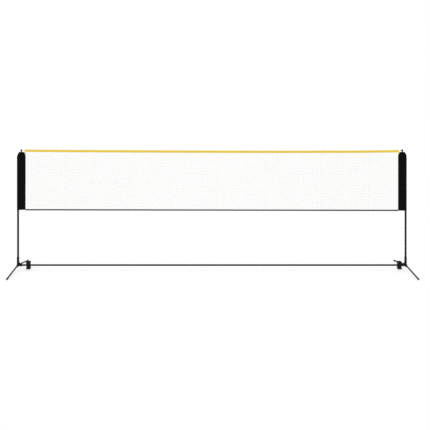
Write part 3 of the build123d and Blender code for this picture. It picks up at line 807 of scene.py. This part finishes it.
def zinc_plate():
    """Zinc-plated steel: grey with faint yellow patches, and a cloudy polish."""
    material, tree, surface = new_finish("zinc_plate", metallic=1.0)
    place = own_place(tree)
    grain = use_effect(tree, GRAIN, vector=place, grain_size=0.0009, patch_size=0.006)
    plate = mix_colours(tree, grain.outputs["Patches"], rgb(0.42, 0.43, 0.45), rgb(0.60, 0.58, 0.50))
    tree.links.new(plate, surface.inputs["Base Color"])
    tree.links.new(remap(tree, grain.outputs["Grain"], 0.3, 0.7, 0.28, 0.45), surface.inputs["Roughness"])
    bump(tree, surface, grain.outputs["Grain"], 0.00003)
    return material


def fibre_rod():
    """Black glass-fibre rod: glossy resin over fibres that show as fine upright streaks."""
    material, tree, surface = new_finish("black_glass_fibre", specular_ior_level=0.5)
    stretch = add_node(tree, "ShaderNodeMapping", {"Vector": own_place(tree), "Scale": (1800, 1800, 12)})
    streaks = noise(tree, stretch.outputs[0], 1.0, 2.0)
    body = mix_colours(tree, streaks, rgb(0.006, 0.006, 0.007), rgb(0.028, 0.028, 0.027))
    tree.links.new(body, surface.inputs["Base Color"])
    tree.links.new(remap(tree, streaks, 0.3, 0.7, 0.18, 0.3), surface.inputs["Roughness"])
    bump(tree, surface, streaks, 0.00004)
    return material


def sleeve_cloth():
    """Black coated cloth: a plain weave, lint, a hem stitched above the mouth and a double seam beside the
    inner edge."""
    material, tree, surface = new_finish(
        "black_sleeve_cloth", specular_ior_level=0.07, sheen_weight=0.015, sheen_roughness=0.35
    )
    low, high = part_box("left_net_sleeve")
    width = high.x - low.x
    place, along, up = cloth_place(tree)
    weave = use_effect(tree, WEAVE, vector=place, pitch=0.0007)
    grain = use_effect(tree, GRAIN, vector=place, grain_size=0.002, patch_size=0.05)
    from_hem_row = maths(tree, "SUBTRACT", up, MOUTH_HEM * HEM_ROW_PLACE)
    from_inner_edge = maths(tree, "ABSOLUTE", maths(tree, "SUBTRACT", along, width))
    thread = use_effect(tree, STITCHES, along=along, away=from_hem_row, **SLEEVE_STITCH).outputs[0]
    for distance in SEAM_ROWS:
        away = maths(tree, "SUBTRACT", from_inner_edge, distance)
        row = use_effect(tree, STITCHES, along=up, away=away, **SLEEVE_STITCH)
        thread = maths(tree, "MAXIMUM", thread, row.outputs[0])
    dark, light = rgb(0.0010, 0.0010, 0.0012), rgb(0.0026, 0.0026, 0.0030)
    cloth = mix_colours(tree, grain.outputs["Patches"], dark, light)
    lint = remap(tree, grain.outputs["Grain"], 0.68, 0.76, 0.0, 0.12)
    dusty = mix_colours(tree, lint, cloth, grey(0.06))
    gaps = maths(tree, "MULTIPLY", weave.outputs["Gaps"], 0.5)
    shaded = mix_colours(tree, gaps, dusty, grey(0.001))
    tree.links.new(mix_colours(tree, thread, shaded, rgb(0.012, 0.012, 0.013)), surface.inputs["Base Color"])
    tree.links.new(remap(tree, grain.outputs["Patches"], 0.3, 0.7, 0.42, 0.6), surface.inputs["Roughness"])
    height = maths(tree, "ADD", maths(tree, "MULTIPLY", weave.outputs["Height"], 0.4), thread)
    bump(tree, surface, height, 0.0003)
    return material


def tape_cloth(name, height, dark, light, thread_colour, stitch_heights):
    """Woven tape: a fine weave, cloudy colour, and rows of stitches along it at given heights."""
    material, tree, surface = new_finish(name, specular_ior_level=0.3, sheen_weight=0.03)
    place, along, up = cloth_place(tree)
    weave = use_effect(tree, WEAVE, vector=place, pitch=0.0006)
    grain = use_effect(tree, GRAIN, vector=place, grain_size=0.0016, patch_size=0.06)
    thread = 0.0
    for row_height in stitch_heights:
        away = maths(tree, "SUBTRACT", up, row_height * height)
        row = use_effect(tree, STITCHES, along=along, away=away, **TAPE_STITCH)
        thread = maths(tree, "MAXIMUM", thread, row.outputs[0])
    cloth = mix_colours(tree, grain.outputs["Patches"], dark, light)
    gaps = maths(tree, "MULTIPLY", weave.outputs["Gaps"], 0.25)
    shaded = mix_colours(tree, gaps, cloth, tuple(0.35 * part for part in dark[:3]) + (1.0,))
    tree.links.new(mix_colours(tree, thread, shaded, thread_colour), surface.inputs["Base Color"])
    tree.links.new(remap(tree, grain.outputs["Grain"], 0.3, 0.7, 0.5, 0.7), surface.inputs["Roughness"])
    rise = maths(tree, "ADD", maths(tree, "MULTIPLY", weave.outputs["Height"], 0.4), thread)
    bump(tree, surface, rise, 0.00025)
    return material


def twine():
    """Pale polyester twine: slanting strands, and slow patches where it has yellowed."""
    material, tree, surface = new_finish("pale_twine", roughness=0.7, specular_ior_level=0.25)
    place = own_place(tree)
    grain = use_effect(tree, GRAIN, vector=place, grain_size=0.003, patch_size=0.4)
    slanting = {"Vector": place, "Scale": 260.0, "Distortion": 1.0}
    strands = add_node(tree, "ShaderNodeTexWave", slanting, bands_direction="DIAGONAL").outputs[1]
    pale = mix_colours(tree, grain.outputs["Patches"], rgb(0.74, 0.73, 0.70), rgb(0.80, 0.79, 0.74))
    shadow = maths(tree, "MULTIPLY", strands, 0.18)
    tree.links.new(mix_colours(tree, shadow, pale, rgb(0.52, 0.50, 0.45)), surface.inputs["Base Color"])
    bump(tree, surface, strands, 0.0001)
    return material


def braid():
    """White braided line: two sets of slanting strands."""
    material, tree, surface = new_finish("white_braid_line", roughness=0.65)
    place, _, _ = cloth_place(tree)
    weave = use_effect(tree, WEAVE, vector=place, pitch=0.0011)
    grain = use_effect(tree, GRAIN, vector=place, grain_size=0.001, patch_size=0.05)
    pale = mix_colours(tree, grain.outputs["Patches"], rgb(0.74, 0.74, 0.71), rgb(0.84, 0.84, 0.82))
    shade = maths(tree, "MULTIPLY", weave.outputs["Gaps"], 0.5)
    tree.links.new(mix_colours(tree, shade, pale, rgb(0.35, 0.34, 0.31)), surface.inputs["Base Color"])
    bump(tree, surface, weave.outputs["Height"], 0.0002)
    return material


def finish_hard_parts():
    """Gives each solid part its finish, by the end of its name. The rail sections are painted tube."""
    tube = painted_tube()
    moulding = moulded_plastic("black_moulding", grey(0.003), grey(0.008), 0.06)
    clip = moulded_plastic("black_brown_clip", rgb(0.003, 0.0029, 0.0024), rgb(0.009, 0.0086, 0.007), 0.07)
    zinc = zinc_plate()
    rod = fibre_rod()
    foot = rubber()
    finishes = {
        "lower_pole": tube,
        "leg_tube": tube,
        "foot_hub": moulding,
        "leg_knuckle": moulding,
        "pole_cap": moulding,
        "stowage_clip": clip,
        "leg_foot": foot,
        "upper_pole": rod,
        "pole_ferrule": zinc,
        "leg_rivet": zinc,
        "screws": zinc,
        "bolts": zinc,
        "washers": zinc,
        "nuts": zinc,
    }
    for name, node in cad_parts.items():
        finish = next((made for ending, made in finishes.items() if name.endswith(ending)), tube)
        for index in range(len(node.data.materials)):
            node.data.materials[index] = finish


def declare_tapes(top, bottom):
    """The two tapes, attached to the body of the poles and the net."""
    for piece, height, ends in ((top, TAPE_HEIGHT, tape_ends()), (bottom, HEM_HEIGHT, net_ends())):
        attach(piece, SOFT_BODY)


# Studio


def floor():
    """A plain pale floor, slightly mottled. It gives off most of its own light, which keeps shadows faint."""
    material, tree, surface = new_finish(
        "pale_floor", roughness=0.9, specular_ior_level=0.0, emission_color=grey(1.0), emission_strength=0.7
    )
    cloudy = noise(tree, own_place(tree), 1.5)
    tree.links.new(mix_colours(tree, cloudy, grey(0.305), grey(0.32)), surface.inputs["Base Color"])
    across = np.linspace(-FLOOR_REACH, FLOOR_REACH, 3)
    x, y = np.meshgrid(across, across)
    points = np.stack([x, y, np.full(x.shape, -FLOOR_DEPTH)], axis=-1).reshape(-1, 3)
    make_piece("floor", points, grid_quads(3, 3), material)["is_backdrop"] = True


def soft_light(name, direction, strength):
    """A very wide, soft light that shines evenly on everything from one direction."""
    lamp = bpy.data.lights.new(name, "SUN")
    lamp.energy = strength
    lamp.angle = np.radians(SOFT_LIGHT_ANGLE)
    holder = bpy.data.objects.new(name, lamp)
    bpy.context.scene.collection.objects.link(holder)
    across, back, up = direction
    holder.rotation_euler = (np.arctan2(np.hypot(across, back), up), 0, np.arctan2(across, -back))


def studio():
    """Even white light all round, and two wide soft lights from above, one in front and one behind."""
    world = bpy.data.worlds.new("white_studio")
    bpy.context.scene.world = world
    world.use_nodes = True
    tree = world.node_tree
    backdrop = tree.nodes["Background"]
    seen = tree.nodes.new("ShaderNodeLightPath").outputs["Is Camera Ray"]
    backdrop.inputs["Color"].default_value = grey(1.0)
    tree.links.new(remap(tree, seen, 0.0, 1.0, ROOM_LIGHT, BACKDROP_LIGHT), backdrop.inputs["Strength"])
    soft_light("front_light", (-0.35, -0.8, 1.0), 1.1)
    soft_light("rear_light", (0.4, 0.7, 1.1), 0.9)
    bpy.context.scene.view_settings.view_transform = "Standard"


def camera():
    """A level camera square to the net. The lens shift alone moves the picture's middle off its axis."""
    data = bpy.data.cameras.new("camera")
    data.lens = LENS_MM
    data.sensor_width = SENSOR_MM
    view_width = -CAMERA_PLACE[1] * SENSOR_MM / LENS_MM
    data.shift_x = (PICTURE_MIDDLE[0] - CAMERA_PLACE[0]) / view_width
    data.shift_y = (PICTURE_MIDDLE[1] - CAMERA_PLACE[2]) / view_width
    holder = bpy.data.objects.new("camera", data)
    bpy.context.scene.collection.objects.link(holder)
    holder.location = CAMERA_PLACE
    holder.rotation_euler = (np.pi / 2, 0, 0)
    bpy.context.scene.camera = holder


camera()
studio()
floor()
finish_hard_parts()
net(twine())
yellow = tape_cloth(
    "yellow_tape_cloth",
    TAPE_HEIGHT,
    dark=rgb(0.80, 0.56, 0.045),
    light=rgb(0.90, 0.67, 0.07),
    thread_colour=rgb(0.93, 0.75, 0.16),
    stitch_heights=(0.12, 0.2),
)
black = tape_cloth(
    "black_tape_cloth",
    HEM_HEIGHT,
    dark=grey(0.005),
    light=grey(0.012),
    thread_colour=grey(0.03),
    stitch_heights=(0.8,),
)
declare_tapes(top_tape(yellow), bottom_tape(black))
for line in tape_lines(braid()):
    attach(line, SOFT_BODY)
cloth = sleeve_cloth()
for side in SIDES:
    net_sleeve(side, cloth)

boxes = {"solid": solid_box, "shown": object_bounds()}
{name: [list(corner) for corner in box] for name, box in boxes.items()}
